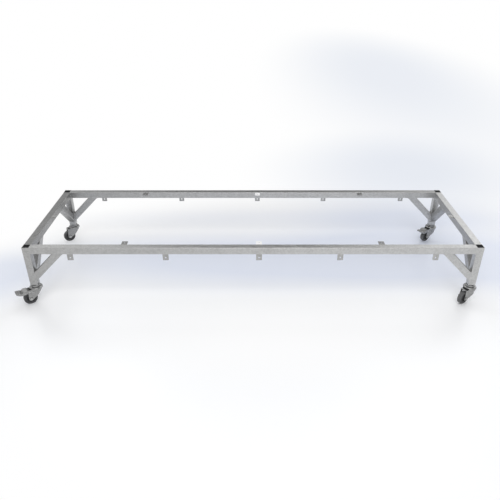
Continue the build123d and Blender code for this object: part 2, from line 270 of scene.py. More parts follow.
class Effects:
    """Shader node groups that several finishes share, each made once."""

    @cached_property
    def spangle(self) -> Tree:
        """Zinc crystals: ragged cells of their own tone, feathered their own way and finely frosted.

        Returns:
            The group, with Shade, Dullness and Height.
        """
        sketch = GroupSketch("zinc_spangle", Cells=60.0)
        place = sketch.place
        ragged = sketch.add("ShaderNodeTexNoise", {"Vector": place, "Scale": 240.0, "Detail": 2.0})
        push = sketch.add("ShaderNodeVectorMath", operation="MULTIPLY_ADD")
        sketch.feed(push.inputs[0], ragged.outputs["Color"])
        push.inputs[1].default_value = (3 * MM, 3 * MM, 3 * MM)
        sketch.feed(push.inputs[2], place)
        cells = sketch.source["Cells"]
        crystal = sketch.add("ShaderNodeTexVoronoi", {"Vector": push.outputs[0], "Scale": cells})
        tone = sketch.add("ShaderNodeSeparateColor", {"Color": crystal.outputs["Color"]}).outputs
        frost = sketch.noise(place, scale=900.0, detail=4.0)
        cloud = sketch.noise(place, scale=9.0, detail=3.0)
        angle = sketch.maths("MULTIPLY", tone[1], math.tau)
        lie = sketch.add("ShaderNodeVectorRotate", {"Vector": place, "Axis": (1.0, 1.0, 1.0), "Angle": angle})
        drawn = sketch.stretched(lie.outputs["Vector"], (1.0, 0.12, 1.0))
        feather = sketch.noise(drawn, scale=850.0, detail=3.0)
        mottle = sketch.weighed(feather, 0.35, cloud, 0.2)
        return sketch.put_out(
            Shade=sketch.weighed(tone[0], 0.45, mottle),
            Dullness=sketch.weighed(tone[1], 0.6, frost, 0.4),
            Height=sketch.weighed(tone[2], 0.5, frost, 0.5),
        )

    @cached_property
    def streaks(self) -> Tree:
        """Fine lines along X, as rolling and drawing leave on steel.

        Returns:
            The group, with Lines.
        """
        sketch = GroupSketch("drawn_streaks", Fineness=300.0)
        drawn = sketch.stretched(sketch.place, (0.02, 1.0, 1.0))
        return sketch.put_out(Lines=sketch.noise(drawn, sketch.source["Fineness"], detail=3.0))

    @cached_property
    def grime(self) -> Tree:
        """Soft patches of handling marks and dust.

        Returns:
            The group, with Mask.
        """
        sketch = GroupSketch("handling_grime", Patches=14.0, Spread=0.5)
        patches = sketch.noise(sketch.place, sketch.source["Patches"], detail=6.0, roughness=0.65)
        edge = sketch.maths("SUBTRACT", patches, sketch.source["Spread"])
        return sketch.put_out(Mask=sketch.remap(edge, (-0.08, 0.2), (0.0, 1.0)))

    @cached_property
    def grain(self) -> Tree:
        """Fine pebbled grain of moulded plastic and rubber.

        Returns:
            The group, with Height and Speckle.
        """
        sketch = GroupSketch("moulded_grain", Fineness=1500.0)
        fineness = sketch.source["Fineness"]
        pebbles = sketch.add("ShaderNodeTexVoronoi", {"Vector": sketch.place, "Scale": fineness})
        speckle = sketch.noise(sketch.place, scale=160.0, detail=4.0)
        return sketch.put_out(Height=pebbles.outputs["Distance"], Speckle=speckle)

    @cached_property
    def edges(self) -> Tree:
        """The corners of a square tube whose middle line is the pattern's X axis, for rubbed wear and painted
        highlight.

        Returns:
            The group, with Mask.
        """
        sketch = GroupSketch("tube_edges", Half=20 * MM)
        parts = sketch.add("ShaderNodeSeparateXYZ", {"Vector": sketch.place})
        across = [sketch.maths("ABSOLUTE", parts.outputs[axis]) for axis in ("Y", "Z")]
        inset = sketch.maths("SUBTRACT", sketch.source["Half"], sketch.maths("MINIMUM", *across))
        corner = sketch.remap(inset, (0.6 * MM, 3.4 * MM), (1.0, 0.0))
        patches = sketch.noise(sketch.place, scale=55.0, detail=4.0)
        patchy = sketch.remap(patches, (0.35, 0.65), (0.35, 1.0))
        return sketch.put_out(Mask=sketch.maths("MULTIPLY", corner, patchy))

    @cached_property
    def tyre(self) -> Tree:
        """A tyre's running face and its moulded lines, round the pattern's Y axis.

        Returns:
            The group, with Tread and Height.
        """
        sketch = GroupSketch("tyre_form", Radius=37.5 * MM, Pitch=2.4 * MM)
        parts = sketch.add("ShaderNodeSeparateXYZ", {"Vector": sketch.place})
        squares = [sketch.maths("POWER", parts.outputs[axis], 2.0) for axis in ("X", "Z")]
        distance = sketch.maths("SQRT", sketch.maths("ADD", *squares))
        depth = sketch.maths("SUBTRACT", sketch.source["Radius"], distance)
        tread = sketch.remap(depth, (0.8 * MM, 3.6 * MM), (1.0, 0.0))
        turns = sketch.maths("DIVIDE", math.tau, sketch.source["Pitch"])
        rings = sketch.maths("SINE", sketch.maths("MULTIPLY", distance, turns))
        lines = sketch.maths("SINE", sketch.maths("MULTIPLY", parts.outputs["Y"], turns))
        side = sketch.maths("MULTIPLY", rings, sketch.maths("SUBTRACT", 1.0, tread))
        height = sketch.maths("ADD", side, sketch.maths("MULTIPLY", lines, tread))
        return sketch.put_out(Tread=tread, Height=height)


class MaterialBench:
    """A new material with its Principled shader, its Object coordinates and a sketch of its tree."""

    def __init__(self, name: str) -> None:
        """Starts the material.

        Args:
            name: The material's name.
        """
        self.material = bpy.data.materials.new(name)
        self.material.use_nodes = True
        self.sketch = NodeSketch(self.material.node_tree)
        self.shader = self.material.node_tree.nodes["Principled BSDF"]
        coordinates = self.sketch.add("ShaderNodeTexCoord").outputs
        self.place = coordinates["Object"]
        self.facing = coordinates["Normal"]

    def group(self, tree: Tree, place: Socket, **numbers: float) -> Node:
        """Places a shared effect with its own numbers.

        Args:
            tree: The effect's node group.
            place: The coordinates that it reads.
            numbers: Its number inputs.

        Returns:
            The group node.
        """
        node = self.sketch.add("ShaderNodeGroup", node_tree=tree)
        self.sketch.feed(node.inputs["Place"], place)
        for name, number in numbers.items():
            node.inputs[name].default_value = number
        return node

    def local(self, middle: Sequence[float], degrees: Sequence[float]) -> Socket:
        """Coordinates that start at a piece's middle and turn with it.

        Args:
            middle: The piece's middle.
            degrees: The piece's turn about X, Y and Z.

        Returns:
            The coordinates' socket.
        """
        node = self.sketch.add("ShaderNodeMapping", {"Vector": self.place}, vector_type="TEXTURE")
        node.inputs["Location"].default_value = tuple(middle)
        node.inputs["Rotation"].default_value = tuple(math.radians(angle) for angle in degrees)
        return node.outputs["Vector"]

    def bump(self, height: Socket, depth: float, strength: float) -> None:
        """Feeds a height into the shader's normal.

        Args:
            height: The height's socket.
            depth: What a height of one stands for, in metres.
            strength: The Bump node's strength.
        """
        node = self.sketch.add("ShaderNodeBump", {"Height": height, "Distance": depth, "Strength": strength})
        self.sketch.feed(self.shader.inputs["Normal"], node.outputs["Normal"])

    def set(self, **values: object) -> None:
        """Sets or feeds the shader's sockets, with _ for the spaces in their names."""
        for name, value in values.items():
            self.sketch.feed(self.shader.inputs[name.replace("_", " ")], value)


@dataclass(frozen=True)
class GalvanisedSteel:
    """Zinc-dipped steel: crystals, streaks, dull marks, corners lighter as rubbed wear and painted highlight,
    and painted shade and light along the length and on the upper face.
    """

    light: Colour = (0.575, 0.575, 0.57)
    dark: Colour = (0.435, 0.435, 0.43)
    mark: Colour = (0.38, 0.38, 0.375)
    rubbed_and_sheen: Colour = (0.66, 0.66, 0.655)
    cells: float = 150.0
    streak_fineness: float = 320.0
    streak_share: float = 0.35
    mark_patches: float = 11.0
    mark_spread: float = 0.56
    mark_share: float = 0.25
    mark_dullness: float = 0.12
    rubbed_and_sheen_share: float = 0.25
    lengthwise_shade: float = 0.1
    lengthwise_shade_reach: float = 1.25
    upward: Span = (0.6, 0.95)
    middling: Span = (0.2, 0.8)
    roughness: Span = (0.34, 0.50)
    relief: float = 0.2 * MM
    relief_strength: float = 0.25

    def lay(
        self, bench: MaterialBench, effects: Effects, local: Socket, tone_and_shade: ToneAndShade, half: float
    ) -> tuple[Socket, Socket]:
        """Lays the zinc on a material and leaves its colour and roughness to be set.

        Args:
            bench: The material.
            effects: The shared node groups.
            local: The piece's own coordinates, its length along X.
            tone_and_shade: The tone shares of the sides and the upper face, partly painted shade and light.
            half: Half the side of the tube, for its corners of rubbed wear and painted highlight.

        Returns:
            The sockets of the colour and the roughness.
        """
        sketch = bench.sketch
        sides, top = tone_and_shade.value
        tones = (self.dark, self.light, self.mark, self.rubbed_and_sheen)
        dark, light, mark, rubbed_and_sheen = ((*(sides * part for part in tone), 1.0) for tone in tones)
        spangle = bench.group(effects.spangle, bench.place, Cells=self.cells)
        streaks = bench.group(effects.streaks, local, Fineness=self.streak_fineness)
        grime = bench.group(effects.grime, bench.place, Patches=self.mark_patches, Spread=self.mark_spread)
        edges = bench.group(effects.edges, local, Half=half)
        crystal = sketch.remap(spangle.outputs["Shade"], self.middling, (0.0, 1.0))
        lined = sketch.weighed(streaks.outputs["Lines"], self.streak_share, crystal, 1.0 - self.streak_share)
        tone = sketch.blend(lined, dark, light)
        marked = sketch.blend(sketch.maths("MULTIPLY", grime.outputs["Mask"], self.mark_share), tone, mark)
        # The corners are lighter: partly rubbed wear, partly painted highlight.
        edge_wear_and_sheen = sketch.maths("MULTIPLY", edges.outputs["Mask"], self.rubbed_and_sheen_share)
        worn_and_sheen = sketch.blend(edge_wear_and_sheen, marked, rubbed_and_sheen)
        # Painted shade and light along the tube: its tone rises from the -X end to the +X end.
        along = sketch.add("ShaderNodeSeparateXYZ", {"Vector": local}).outputs["X"]
        ends = (-self.lengthwise_shade_reach, self.lengthwise_shade_reach)
        colour = sketch.shaded(worn_and_sheen, sketch.remap(along, ends, (1.0 - self.lengthwise_shade, 1.0 + self.lengthwise_shade)))
        # Painted shade or light on the upper face: faces that look up take the top's share instead of the
        # sides' share.
        if top != sides:
            upward = sketch.add("ShaderNodeSeparateXYZ", {"Vector": bench.facing}).outputs["Z"]
            colour = sketch.shaded(colour, sketch.remap(upward, self.upward, (1.0, top / sides)))
        dulled = sketch.remap(spangle.outputs["Dullness"], self.middling, self.roughness)
        bench.bump(spangle.outputs["Height"], self.relief, self.relief_strength)
        return colour, sketch.weighed(grime.outputs["Mask"], self.mark_dullness, dulled)

    def material(
        self, effects: Effects, name: str, middle: Sequence[float], run: Run, tone_and_shade: ToneAndShade, half: float
    ) -> Material:
        """Makes the finish of one piece.

        Args:
            effects: The shared node groups.
            name: The piece's name.
            middle: The middle of the piece.
            run: The way the piece runs.
            tone_and_shade: The tone shares of the sides and the upper face, partly painted shade and light.
            half: Half the side of the tube.

        Returns:
            The material.
        """
        bench = MaterialBench(f"galvanised_{name}")
        colour, rough = self.lay(bench, effects, bench.local(middle, run.value), tone_and_shade, half)
        bench.set(Base_Color=colour, Roughness=rough, Metallic=1.0)
        return bench.material


@dataclass(frozen=True)
class DeckTabWithHighlight:
    """Galvanised deck tabs: a painted highlight makes the middle pair white, and painted light makes the end
    pair brighter.
    """

    steel: GalvanisedSteel
    # The colour of the painted highlight on the middle pair.
    white: Colour = (0.95, 0.95, 0.95)
    highlight_roughness: float = 0.35
    middle_x: float = 33 * MM
    reach: float = 20 * MM
    ends: Span = (900 * MM, 1000 * MM)
    end_painted_light: float = 1.4
    grain: float = 1400.0
    clouding: Span = (0.95, 1.0)

    def material(self, effects: Effects) -> Material:
        """Makes the finish.

        Args:
            effects: The shared node groups.

        Returns:
            The material.
        """
        bench = MaterialBench("deck_tab_painted_highlight")
        sketch = bench.sketch
        local = bench.local((self.middle_x, 0.0, 0.0), Run.LONG.value)
        # Painted shade: the deck tabs take the dark tone.
        colour, rough = self.steel.lay(bench, effects, local, ToneAndShade.DARK, self.reach)
        along = sketch.add("ShaderNodeSeparateXYZ", {"Vector": local}).outputs["X"]
        distance = sketch.maths("ABSOLUTE", along)
        # Painted highlight: the middle pair, within reach of middle_x, turns white.
        highlight_mask = sketch.maths("LESS_THAN", distance, self.reach)
        # Painted light: the end pair turns brighter.
        zinc = sketch.shaded(colour, sketch.remap(distance, self.ends, (1.0, self.end_painted_light)))
        speckle = bench.group(effects.grain, bench.place, Fineness=self.grain).outputs["Speckle"]
        painted_highlight = sketch.shaded((*self.white, 1.0), sketch.remap(speckle, SPECKLE_SPAN, self.clouding))
        dulled = sketch.add("ShaderNodeMix", {"Factor": highlight_mask, "A": rough, "B": self.highlight_roughness})
        bench.set(
            Base_Color=sketch.blend(highlight_mask, zinc, painted_highlight),
            Roughness=dulled.outputs[0],
            Metallic=sketch.maths("SUBTRACT", 1.0, highlight_mask),
        )
        return bench.material


@dataclass(frozen=True)
class ZincPlate:
    """Zinc plating on pressed and turned steel, a little cloudy, with soft handling marks."""

    name: str
    light: Colour
    dark: Colour
    roughness: Span
    metallic: float
    lie: Point = (0.0, 0.0, 33.0)
    fineness: float = 900.0
    patches: float = 60.0
    spread: float = 0.52
    streak_share: float = 0.5
    middling: Span = (0.1, 0.9)
    relief: float = 0.1 * MM
    relief_strength: float = 0.2

    def material(self, effects: Effects) -> Material:
        """Makes the finish.

        Args:
            effects: The shared node groups.

        Returns:
            The material.
        """
        bench = MaterialBench(self.name)
        sketch = bench.sketch
        local = bench.local((0.0, 0.0, 0.0), self.lie)
        lines = bench.group(effects.streaks, local, Fineness=self.fineness).outputs["Lines"]
        grime = bench.group(effects.grime, bench.place, Patches=self.patches, Spread=self.spread)
        cloudy = sketch.weighed(lines, self.streak_share, grime.outputs["Mask"], 1.0 - self.streak_share)
        colour = sketch.blend(cloudy, (*self.light, 1.0), (*self.dark, 1.0))
        rough = sketch.remap(cloudy, self.middling, self.roughness)
        bench.set(Base_Color=colour, Roughness=rough, Metallic=self.metallic)
        bench.bump(lines, self.relief, self.relief_strength)
        return bench.material


@dataclass(frozen=True)
class Moulding:
    """Moulded plastic or rubber: fine pebbled grain, speckle and patches of dust."""

    name: str
    tone: Colour
    dust: Colour
    dust_amount: float
    roughness: Span
    fineness: float
    patches: float = 45.0
    spread: float = 0.5
    gloss: float = 0.12
    relief: float = 0.2 * MM
    relief_strength: float = 0.4

    def material(self, effects: Effects) -> Material:
        """Makes the finish.

        Args:
            effects: The shared node groups.

        Returns:
            The material.
        """
        bench = MaterialBench(self.name)
        sketch = bench.sketch
        grain = bench.group(effects.grain, bench.place, Fineness=self.fineness)
        grime = bench.group(effects.grime, bench.place, Patches=self.patches, Spread=self.spread)
        dusty = sketch.maths("MULTIPLY", grime.outputs["Mask"], self.dust_amount)
        speckled = sketch.remap(grain.outputs["Speckle"], SPECKLE_SPAN, (0.0, self.dust_amount / 2))
        tone = sketch.blend(speckled, (*self.tone, 1.0), (*self.dust, 1.0))
        colour = sketch.blend(dusty, tone, (*self.dust, 1.0))
        rough = sketch.remap(grain.outputs["Speckle"], SPECKLE_SPAN, self.roughness)
        bench.set(Base_Color=colour, Roughness=rough, Specular_IOR_Level=self.gloss)
        bench.bump(grain.outputs["Height"], self.relief, self.relief_strength)
        return bench.material


@dataclass(frozen=True)
class TyreRubber:
    """Dark tyre with a paler running face, partly scuffing and partly painted light, with moulded lines and
    dust.
    """

    side: Colour = (0.053, 0.053, 0.055)
    tread: Colour = (0.115, 0.115, 0.117)
    dust: Colour = (0.17, 0.17, 0.17)
    roughness: Span = (0.6, 0.8)
    radius: float = 37.5 * MM
    line_pitch: float = 2.4 * MM
    fineness: float = 1300.0
    patches: float = 45.0
    spread: float = 0.5
    dust_amount: float = 0.3
    grain_share: float = 0.6
    relief: float = 0.3 * MM
    relief_strength: float = 0.4

    def material(self, effects: Effects, name: str, middle: Sequence[float], heading: float) -> Material:
        """Makes the finish of one tyre.

        Args:
            effects: The shared node groups.
            name: The tyre's name.
            middle: The middle of the wheel.
            heading: The wheel's turn about the upright.

        Returns:
            The material.
        """
        bench = MaterialBench(f"rubber_{name}")
        sketch = bench.sketch
        local = bench.local(middle, (0.0, 0.0, heading))
        form = bench.group(effects.tyre, local, Radius=self.radius, Pitch=self.line_pitch)
        grain = bench.group(effects.grain, local, Fineness=self.fineness)
        grime = bench.group(effects.grime, local, Patches=self.patches, Spread=self.spread)
        # The running face is paler: partly scuffing, partly painted light.
        tone = sketch.blend(form.outputs["Tread"], (*self.side, 1.0), (*self.tread, 1.0))
        dusty = sketch.maths("MULTIPLY", grime.outputs["Mask"], self.dust_amount)
        colour = sketch.blend(dusty, tone, (*self.dust, 1.0))
        rough = sketch.remap(grain.outputs["Speckle"], SPECKLE_SPAN, self.roughness)
        height = sketch.weighed(
            grain.outputs["Height"], self.grain_share, form.outputs["Height"], 1.0 - self.grain_share
        )
        bench.set(Base_Color=colour, Roughness=rough)
        bench.bump(height, self.relief, self.relief_strength)
        return bench.material


class Workshop:
    """The shared effects and every finish of the platform."""

    def __init__(self) -> None:
        """Makes the effects, the finishes that each piece fits to itself, and the plain materials."""
        self.effects = Effects()
        self.steel = GalvanisedSteel()
        self.rubber = TyreRubber()
        self.deck_tab = DeckTabWithHighlight(self.steel).material(self.effects)
        middle = (0.0, 0.0, 0.0)
        self.bead = self.steel.material(self.effects, "weld", middle, Run.LONG, ToneAndShade.PLAIN, half=1.0)
        finishes = (
            ZincPlate("zinc_pressing", (0.38, 0.38, 0.377), (0.22, 0.22, 0.218), (0.2, 0.36), 0.65),
            ZincPlate("zinc_fastener", (0.52, 0.52, 0.515), (0.38, 0.38, 0.375), (0.26, 0.4), 0.6),
            ZincPlate("dark_steel", (0.17, 0.17, 0.175), (0.1, 0.1, 0.105), (0.4, 0.55), 0.5),
            Moulding("plug_plastic", (0.009, 0.009, 0.01), (0.03, 0.03, 0.031), 0.2, (0.65, 0.8), 1800.0),
            Moulding("wheel_plastic", (0.05, 0.05, 0.052), (0.12, 0.12, 0.12), 0.3, (0.45, 0.6), 1600.0),
        )
        made = (finish.material(self.effects) for finish in finishes)
        self.pressing, self.fastener, self.dark_steel, self.plug, self.wheel = made


def middle_of(node: str) -> Vector:
    """The middle of a CAD node's box."""
    low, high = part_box(node)
    return (Vector(low) + Vector(high)) / 2


def dress(material: Material, *nodes: str) -> None:
    """Gives CAD nodes a material.

    Args:
        material: The finish.
        nodes: The nodes' names.
    """
    for name in nodes:
        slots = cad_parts[name].data.materials
        slots.clear()
        slots.append(material)
        log.info("%s: %s", name, material.name)


def finish_piece(mesh: Mesh, name: str, material: Material, body: str) -> None:
    """Turns a bmesh into a smooth piece that rides on a body.

    Args:
        mesh: The piece's mesh, which is freed.
        name: The piece's name.
        material: Its finish.
        body: The body that it rides on.
    """
    bmesh.ops.recalc_face_normals(mesh, faces=mesh.faces)
    for face in mesh.faces:
        face.smooth = True
    data = bpy.data.meshes.new(name)
    mesh.to_mesh(data)
    mesh.free()
    data.materials.append(material)
    piece = bpy.data.objects.new(name, data)
    bpy.context.scene.collection.objects.link(piece)
    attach(piece, body)
    log.info("%s: %d faces on %s", name, len(data.polygons), body)


def pour(part: Mesh, whole: Mesh, place: Matrix) -> None:
    """Adds one shape to a larger mesh at its place, and frees it.

    Args:
        part: The shape.
        whole: The mesh that takes it.
        place: Where the shape goes.
    """
    bmesh.ops.transform(part, verts=part.verts, matrix=place)
    stock = bpy.data.meshes.new("stock")
    part.to_mesh(stock)
    part.free()
    whole.from_mesh(stock)
    bpy.data.meshes.remove(stock)


class WeldRun:
    """Collects weld beads in one mesh."""

    ripple: ClassVar[float] = 2.4 * MM
    swell: ClassVar[float] = 1.1
    sides: ClassVar[int] = 8

    def __init__(self) -> None:
        """Starts an empty mesh."""
        self.mesh = bmesh.new()

    def bead(self, start: Sequence[float], end: Sequence[float], radius: float) -> None:
        """Lays one rippled bead along a straight seam.

        Args:
            start: One end of the seam's middle line.
            end: The other end.
            radius: The bead's radius.
        """
        along = Vector(end) - Vector(start)
        steps = max(2, round(along.length / self.ripple * 2))
        bead = bmesh.new()
        bmesh.ops.create_circle(bead, segments=self.sides, radius=radius)
        edges = bead.edges[:]
        ends = list(edges)
        for step in range(1, steps + 1):
            grown = bmesh.ops.extrude_edge_only(bead, edges=edges)["geom"]
            ring = [item for item in grown if isinstance(item, bmesh.types.BMVert)]
            edges = [
                item for item in grown
                if isinstance(item, bmesh.types.BMEdge) and all(vert in ring for vert in item.verts)
            ]
            bmesh.ops.translate(bead, verts=ring, vec=(0.0, 0.0, along.length / steps))
            swell = self.swell if step % 2 else 1.0 / self.swell
            centre = Matrix.Translation((0.0, 0.0, -along.length * step / steps))
            bmesh.ops.scale(bead, verts=ring, vec=(swell, swell, 1.0), space=centre)
        bmesh.ops.holes_fill(bead, edges=ends + edges)
        turn = along.to_track_quat("Z", "Y").to_matrix().to_4x4()
        pour(bead, self.mesh, Matrix.Translation(start) @ turn)


@dataclass
class Assembly:
    """Pieces that take their finishes from one workshop."""

    shop: Workshop

    def dress(self) -> None:
        """Gives each piece its finish."""

    def build(self) -> None:
        """Adds the forms that the CAD leaves out, where there are any."""


@dataclass
class TubeFrame(Assembly):
    """Rails, legs, braces and tabs of galvanised steel, with their weld beads.

    A bead's radius is bead. Its sink, shift and gap and the tabs' bead are shares of that radius.
    """

    length: float = 2500 * MM
    width: float = 780 * MM
    tube: float = 40 * MM
    corner: float = 2.5 * MM
    brace_reach: float = 175 * MM
    tab_width: float = 32 * MM
    tab_thickness: float = 3 * MM
    tab_setback: float = 2 * MM
    bead: float = 2.2 * MM
    bead_sink: float = 0.6
    bead_shift: float = 0.5
    bead_gap: float = 2.0
    tab_bead: float = 0.8
    hanging_x: tuple[float, ...] = (-996 * MM, -476 * MM, 33 * MM, 476 * MM, 996 * MM)
    deck_x: tuple[float, ...] = (-705 * MM, 33 * MM, 705 * MM)

    def dress(self) -> None:
        """Gives every tube and tab its own zinc, which follows the way it runs."""
        # Painted shade and light on the rails: the back rail's upper face darker; the left short rail darker,
        # its upper face most; the right short rail's sides darker and its upper face lighter.
        self._tube("long_rail_front", Run.LONG, ToneAndShade.PLAIN)
        self._tube("long_rail_back", Run.LONG, ToneAndShade.FILMED)
        self._tube("short_rail_left", Run.SHORT, ToneAndShade.STAINED)
        self._tube("short_rail_right", Run.SHORT, ToneAndShade.RINSED)
        self._tube("hanging_tabs", Run.LONG, ToneAndShade.DULL)
        dress(self.shop.deck_tab, "deck_tabs")
        inward = self.tube / math.sqrt(8)
        for corner in Corner:
            label = corner.label
            side_x, side_y = corner.value
            # Painted shade on the left legs and long braces, painted light on the right ones.
            tone_and_shade = ToneAndShade.DULL if side_x < 0 else ToneAndShade.BRIGHT
            self._tube(f"leg_{label}", Run.UPRIGHT, tone_and_shade)
            slope = Run.LONG_SLOPE_LEFT if side_x < 0 else Run.LONG_SLOPE_RIGHT
            self._tube(f"long_brace_{label}", slope, tone_and_shade, (side_x * inward, 0.0, inward))
            # Painted shade: the short braces all take the duller tone.
            slope = Run.SHORT_SLOPE_FRONT if side_y < 0 else Run.SHORT_SLOPE_BACK
            self._tube(f"short_brace_{label}", slope, ToneAndShade.DULL, (0.0, side_y * inward, inward))

    def _tube(self, node: str, run: Run, tone_and_shade: ToneAndShade, shift: Point = (0.0, 0.0, 0.0)) -> None:
        """Dresses one tube.

        Args:
            node: The tube's node.
            run: The way it runs.
            tone_and_shade: The tone shares of its sides and upper face, partly painted shade and light.
            shift: From the middle of its box to its middle line.
        """
        middle = middle_of(node) + Vector(shift)
        zinc = self.shop.steel.material(self.shop.effects, node, middle, run, tone_and_shade, self.tube / 2)
        dress(zinc, node)

    def build(self) -> None:
        """Lays the weld beads."""
        beads = (
            ("welds_corners", self._corner_welds),
            ("welds_braces", self._brace_welds),
            ("welds_tabs", self._tab_welds),
        )
        for name, lay in beads:
            run = WeldRun()
            lay(run)
            finish_piece(run.mesh, name, self.shop.bead, "frame")

    def _corner_welds(self, run: WeldRun) -> None:
        """Beads between rails and legs: in the outer grooves, in the inner corner and below the rails.

        Args:
            run: The mesh that takes the beads.
        """
        end_x, end_y = self.length / 2, self.width / 2
        inner_x, inner_y = end_x - self.tube, end_y - self.tube
        sunk, shift = self.bead_sink * self.bead, self.bead_shift * self.bead
        uprights = ((inner_x + shift, end_y - sunk), (end_x - sunk, inner_y + shift), (inner_x, inner_y))
        seams = [((x, y, -self.corner), (x, y, self.corner - self.tube)) for x, y in uprights]
        span_y = (inner_y + self.corner, end_y - self.corner)
        span_x = (inner_x + self.corner, end_x - self.corner)
        seams.append([(inner_x, y, -self.tube) for y in span_y])
        seams.append([(x, inner_y, -self.tube) for x in span_x])
        for corner in Corner:
            sides = Vector((*corner.value, 1))
            for seam in seams:
                run.bead(*(sides * Vector(end) for end in seam), self.bead)

    def _brace_welds(self, run: WeldRun) -> None:
        """Beads across both ends of each brace and along its flush sides.

        Args:
            run: The mesh that takes the beads.
        """
        inner_x = self.length / 2 - self.tube
        inner_y = self.width / 2 - self.tube
        near = self.brace_reach - self.tube * math.sqrt(2)
        across = Vector((0.0, self.tube / 2 - self.corner, 0.0))
        sunk = self.tube / 2 - self.bead_sink * self.bead
        gap = self.bead_gap * self.bead
        reaches = (near + gap, self.brace_reach - gap)
        for corner in Corner:
            side_x, side_y = corner.value
            middle_x = side_x * (self.length - self.tube) / 2
            middle_y = side_y * (self.width - self.tube) / 2
            places = (
                Matrix.Translation((side_x * inner_x, middle_y, -self.tube))
                @ Matrix.Scale(-side_x, 4, (1, 0, 0)),
                Matrix.Translation((middle_x, side_y * inner_y, -self.tube))
                @ Matrix.Rotation(math.radians(-90 * side_y), 4, "Z"),
            )
            for place in places:
                for reach in (near, self.brace_reach):
                    for spot in (Vector((reach, 0.0, 0.0)), Vector((0.0, 0.0, -reach))):
                        run.bead(place @ (spot - across), place @ (spot + across), self.bead)
                for side in (-sunk, sunk):
                    run.bead(*(place @ Vector((reach, side, 0.0)) for reach in reaches), self.bead)
                    run.bead(*(place @ Vector((0.0, side, -reach)) for reach in reaches), self.bead)

    def _tab_welds(self, run: WeldRun) -> None:
        """Beads where the tabs meet the rails.

        Args:
            run: The mesh that takes the beads.
        """
        radius = self.tab_bead * self.bead
        half = Vector((self.tab_width / 2 - radius, 0.0, 0.0))
        for side in (-1, 1):
            face = side * (self.width / 2 - self.tab_setback)
            back = face - side * self.tab_thickness
            for x in self.hanging_x:
                for y in (face, back):
                    spot = Vector((x, y, -self.tube))
                    run.bead(spot - half, spot + half, radius)
            inner_y = side * (self.width / 2 - self.tube)
            level = -self.tab_setback - self.tab_thickness
            for x in self.deck_x:
                spot = Vector((x, inner_y, level))
                run.bead(spot - half, spot + half, radius)
            across = Vector((0.0, half.x, 0.0))
            spot = Vector((side * (self.length / 2 - self.tube), 0.0, level))
            run.bead(spot - across, spot + across, radius)


@dataclass
class LegPlugs(Assembly):
    """Black plugs in the tops of the legs."""

    def dress(self) -> None:
        """Gives the plugs their plastic."""
        dress(self.shop.plug, "leg_caps")


@dataclass
class SwivelMounts(Assembly):
    """Pieces between the legs and the forks, which stay with the frame."""

    fasteners: tuple[str, ...] = ("foot_inserts", "stems", "jam_nuts", "kingpin_washers", "kingpin_nuts")

    def dress(self) -> None:
        """Gives the fasteners and the caps their plating."""
        dress(self.shop.fastener, *self.fasteners)
        dress(self.shop.pressing, "swivel_caps")


@dataclass
class Caster(Assembly):
    """Fork, wheel and axle under one leg, with the ridges moulded on the tyre's sides."""

    corner: Corner
    heading: float = CASTER_HEADING
    tyre_width: float = 25 * MM
    ridge_circle: float = 29 * MM
    ridge: float = 0.8 * MM
    ridge_sides: int = 8
    ridge_steps: int = 64

    def dress(self) -> None:
        """Gives each piece its finish."""
        label = self.corner.label
        tyre = f"tyre_{label}"
        dress(self.shop.pressing, f"fork_{label}")
        for piece in ("swivel_balls", "axle_sleeve", "axle_bolt", "axle_nut"):
            dress(self.shop.fastener, f"{piece}_{label}")
        dress(self.shop.wheel, f"wheel_core_{label}")
        rubber = self.shop.rubber.material(self.shop.effects, tyre, middle_of(tyre), self.heading)
        dress(rubber, tyre)

    def build(self) -> None:
        """Moulds a round ridge on each side of the tyre."""
        label = self.corner.label
        middle = middle_of(f"tyre_{label}")
        place = Matrix.Translation(middle) @ Matrix.Rotation(math.radians(self.heading), 4, "Z")
        ridges = bmesh.new()
        for side in (-1, 1):
            pour(self._ridge(), ridges, place @ Matrix.Translation((0.0, side * self.tyre_width / 2, 0.0)))
        rubber = bpy.data.materials[f"rubber_tyre_{label}"]
        finish_piece(ridges, f"tyre_ridges_{label}", rubber, f"wheel_{label}")

    def _ridge(self) -> Mesh:
        """Spins one ridge round the axle, which lies along Y.

        Returns:
            The ridge's mesh.
        """
        ridge = bmesh.new()
        bmesh.ops.create_circle(ridge, segments=self.ridge_sides, radius=self.ridge)
        bmesh.ops.translate(ridge, verts=ridge.verts, vec=(self.ridge_circle, 0.0, 0.0))
        bmesh.ops.spin(
            ridge, geom=ridge.verts[:] + ridge.edges[:], cent=(0.0, 0.0, 0.0), axis=(0.0, 1.0, 0.0),
            angle=math.tau, steps=self.ridge_steps, use_merge=True,
        )
        return ridge


